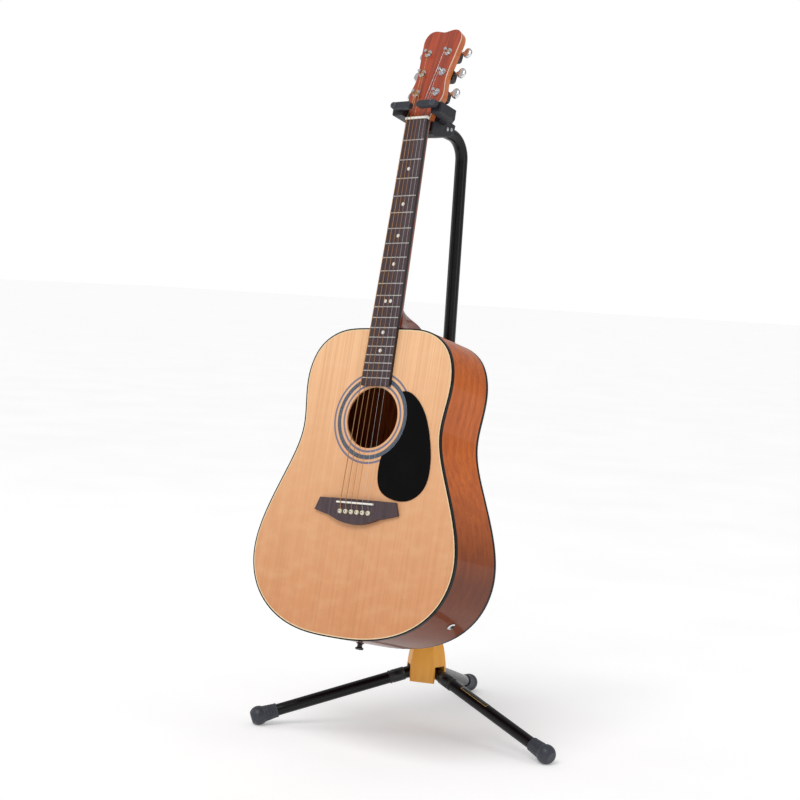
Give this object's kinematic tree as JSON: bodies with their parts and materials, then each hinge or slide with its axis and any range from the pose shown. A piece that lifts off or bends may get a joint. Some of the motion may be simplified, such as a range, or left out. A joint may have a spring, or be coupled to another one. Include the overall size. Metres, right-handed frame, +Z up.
{
  "type": "guitar on stand",
  "caption": "Steel-string acoustic guitar hanging by its headstock in a folding tripod floor stand with a gated yoke and a padded backrest.",
  "frame": {"origin": "on the floor, under the middle of the whole object's bounding box", "axes": "+Z up; the guitar's front faces -Y; +X is the guitar's treble side"},
  "size_m": [0.5152, 0.6132, 1.2119],
  "materials": {
    "spruce_top": "glossy spruce",
    "spruce_inside": "bare spruce and linden",
    "mahogany": "glossy reddish mahogany",
    "rosewood": "oiled dark rosewood",
    "cream_inlay": "cream inlay",
    "bone": "white bone",
    "black_binding": "black celluloid",
    "rosette_rings": "blue-grey and black rings",
    "fret_metal": "nickel silver",
    "string_metal": "bronze wound and plain steel",
    "chrome": "bright chrome",
    "dark_metal": "black plated metal",
    "gloss_black_tube": "glossy black powder coat",
    "pin_steel": "zinc plated steel",
    "mustard_plastic": "mustard yellow moulding",
    "black_plastic": "black moulding",
    "black_rubber": "satin black rubber",
    "foam": "closed cell foam"
  },
  "bodies": {
    "stand_base": {"leg_hub": "mustard_plastic", "leg_pins": "pin_steel", "lower_mast": "gloss_black_tube", "height_clutch": "black_plastic", "backrest_bracket": "black_plastic"},
    "leg_back": {"leg_back": "gloss_black_tube", "foot_back": "black_rubber"},
    "leg_left": {"leg_left": "gloss_black_tube", "foot_left": "black_rubber"},
    "leg_right": {"leg_right": "gloss_black_tube", "foot_right": "black_rubber"},
    "clutch_lever": {"clutch_lever": "black_plastic"},
    "backrest": {"backrest_bar": "gloss_black_tube", "backrest_pads": "foam"},
    "mast_top": {"upper_mast": "gloss_black_tube", "yoke_head": "black_plastic", "yoke_screws": "chrome"},
    "yoke": {"yoke_cradle": "black_rubber"},
    "gate_left": {"gate_left": "black_rubber"},
    "gate_right": {"gate_right": "black_rubber"},
    "guitar": {"soundboard": "spruce_top", "top_purfling": "cream_inlay", "rosette": "rosette_rings", "top_binding": "black_binding", "side_bass": "mahogany", "side_treble": "mahogany", "back_plate": "mahogany", "back_binding": "black_binding", "linings": "spruce_inside", "end_blocks": "spruce_inside", "top_braces": "spruce_inside", "bridge_plate": "spruce_inside", "back_braces": "spruce_inside", "pickguard": "black_binding", "bridge": "rosewood", "saddle": "bone", "bridge_pins": "cream_inlay", "end_pin": "dark_metal", "output_jack": "chrome", "neck": "mahogany", "truss_rod": "dark_metal", "fingerboard": "rosewood", "fret_markers": "cream_inlay", "frets": "fret_metal", "nut": "bone", "strings": "string_metal", "tuner_bushings": "chrome", "tuner_housings": "dark_metal"},
    "button_1": {"tuner_button_1": "chrome"},
    "post_1": {"tuner_post_1": "chrome"},
    "button_2": {"tuner_button_2": "chrome"},
    "post_2": {"tuner_post_2": "chrome"},
    "button_3": {"tuner_button_3": "chrome"},
    "post_3": {"tuner_post_3": "chrome"},
    "button_4": {"tuner_button_4": "chrome"},
    "post_4": {"tuner_post_4": "chrome"},
    "button_5": {"tuner_button_5": "chrome"},
    "post_5": {"tuner_post_5": "chrome"},
    "button_6": {"tuner_button_6": "chrome"},
    "post_6": {"tuner_post_6": "chrome"}
  },
  "joints": [
    {"name": "leg_back_fold", "type": "hinge", "parent": "stand_base", "child": "leg_back", "pos_m": [-0.05421, 0.03053, 0.0985], "axis": [-0.9455, -0.3256, 0], "range_deg": [0, 68]},
    {"name": "leg_left_fold", "type": "hinge", "parent": "stand_base", "child": "leg_left", "pos_m": [-0.06082, -0.00347, 0.0985], "axis": [0.7547, -0.6561, 0], "range_deg": [0, 68]},
    {"name": "leg_right_fold", "type": "hinge", "parent": "stand_base", "child": "leg_right", "pos_m": [-0.02807, 0.0078, 0.0985], "axis": [0.1908, 0.9816, 0], "range_deg": [0, 68]},
    {"name": "mast_height", "type": "slide", "parent": "stand_base", "child": "mast_top", "axis": [0, 0.022, 0.9998], "range_m": [0, 0.1]},
    {"name": "clutch_release", "type": "hinge", "parent": "stand_base", "child": "clutch_lever", "pos_m": [-0.0477, 0.04525, 0.64139], "axis": [1, 0, 0], "range_deg": [0, 25]},
    {"name": "backrest_fold", "type": "hinge", "parent": "stand_base", "child": "backrest", "pos_m": [-0.0477, -0.01971, 0.32574], "axis": [1, 0, 0], "range_deg": [0, 65]},
    {"name": "yoke_drop", "type": "slide", "parent": "mast_top", "child": "yoke", "axis": [-0.0523, 0.2348, 0.9706], "range_m": [0, 0.012], "stiffness_N_per_m": 350, "springref_m": 0.02},
    {"name": "gate_left_turn", "type": "hinge", "parent": "yoke", "child": "gate_left", "pos_m": [-0.08796, -0.10819, 1.07126], "axis": [0, -0.972, 0.2351], "range_deg": [0, 86]},
    {"name": "gate_right_turn", "type": "hinge", "parent": "yoke", "child": "gate_right", "pos_m": [-0.00807, -0.1072, 1.07533], "axis": [0, 0.972, -0.2351], "range_deg": [0, 86]},
    {"name": "guitar_lift", "type": "slide", "parent": "yoke", "child": "guitar", "axis": [-0.0523, 0.1949, 0.9794], "range_m": [0, 0.04]},
    {"name": "button_1_spin", "type": "hinge", "parent": "guitar", "child": "button_1", "pos_m": [-0.07029, -0.0588, 1.09571], "axis": [0.9986, 0.0123, 0.0509], "continuous": true},
    {"name": "post_1_spin", "type": "hinge", "parent": "guitar", "child": "post_1", "pos_m": [-0.07008, -0.08002, 1.09679], "axis": [-0.0109, -0.9019, 0.4318], "continuous": true},
    {"name": "button_2_spin", "type": "hinge", "parent": "guitar", "child": "button_2", "pos_m": [-0.07233, -0.04153, 1.13174], "axis": [0.9986, 0.0123, 0.0509], "continuous": true},
    {"name": "post_2_spin", "type": "hinge", "parent": "guitar", "child": "post_2", "pos_m": [-0.07213, -0.06274, 1.13282], "axis": [-0.0109, -0.9019, 0.4318], "continuous": true},
    {"name": "button_3_spin", "type": "hinge", "parent": "guitar", "child": "button_3", "pos_m": [-0.07438, -0.02426, 1.16776], "axis": [0.9986, 0.0123, 0.0509], "continuous": true},
    {"name": "post_3_spin", "type": "hinge", "parent": "guitar", "child": "post_3", "pos_m": [-0.07418, -0.04548, 1.16884], "axis": [-0.0109, -0.9019, 0.4318], "continuous": true},
    {"name": "button_4_spin", "type": "hinge", "parent": "guitar", "child": "button_4", "pos_m": [-0.03344, -0.02375, 1.16984], "axis": [0.9986, 0.0123, 0.0509], "continuous": true},
    {"name": "post_4_spin", "type": "hinge", "parent": "guitar", "child": "post_4", "pos_m": [-0.03323, -0.04497, 1.17092], "axis": [-0.0109, -0.9019, 0.4318], "continuous": true},
    {"name": "button_5_spin", "type": "hinge", "parent": "guitar", "child": "button_5", "pos_m": [-0.03139, -0.04102, 1.13382], "axis": [0.9986, 0.0123, 0.0509], "continuous": true},
    {"name": "post_5_spin", "type": "hinge", "parent": "guitar", "child": "post_5", "pos_m": [-0.03118, -0.06224, 1.1349], "axis": [-0.0109, -0.9019, 0.4318], "continuous": true},
    {"name": "button_6_spin", "type": "hinge", "parent": "guitar", "child": "button_6", "pos_m": [-0.02934, -0.05829, 1.0978], "axis": [0.9986, 0.0123, 0.0509], "continuous": true},
    {"name": "post_6_spin", "type": "hinge", "parent": "guitar", "child": "post_6", "pos_m": [-0.02914, -0.07951, 1.09888], "axis": [-0.0109, -0.9019, 0.4318], "continuous": true}
  ],
  "couplings": [
    {"joint": "gate_left_turn", "follows": "yoke_drop", "rad_per_m": 123.6},
    {"joint": "gate_right_turn", "follows": "yoke_drop", "rad_per_m": 123.6},
    {"joint": "post_1_spin", "follows": "button_1_spin", "ratio": 0.071429},
    {"joint": "post_2_spin", "follows": "button_2_spin", "ratio": 0.071429},
    {"joint": "post_3_spin", "follows": "button_3_spin", "ratio": 0.071429},
    {"joint": "post_4_spin", "follows": "button_4_spin", "ratio": 0.071429},
    {"joint": "post_5_spin", "follows": "button_5_spin", "ratio": 0.071429},
    {"joint": "post_6_spin", "follows": "button_6_spin", "ratio": 0.071429}
  ]
}
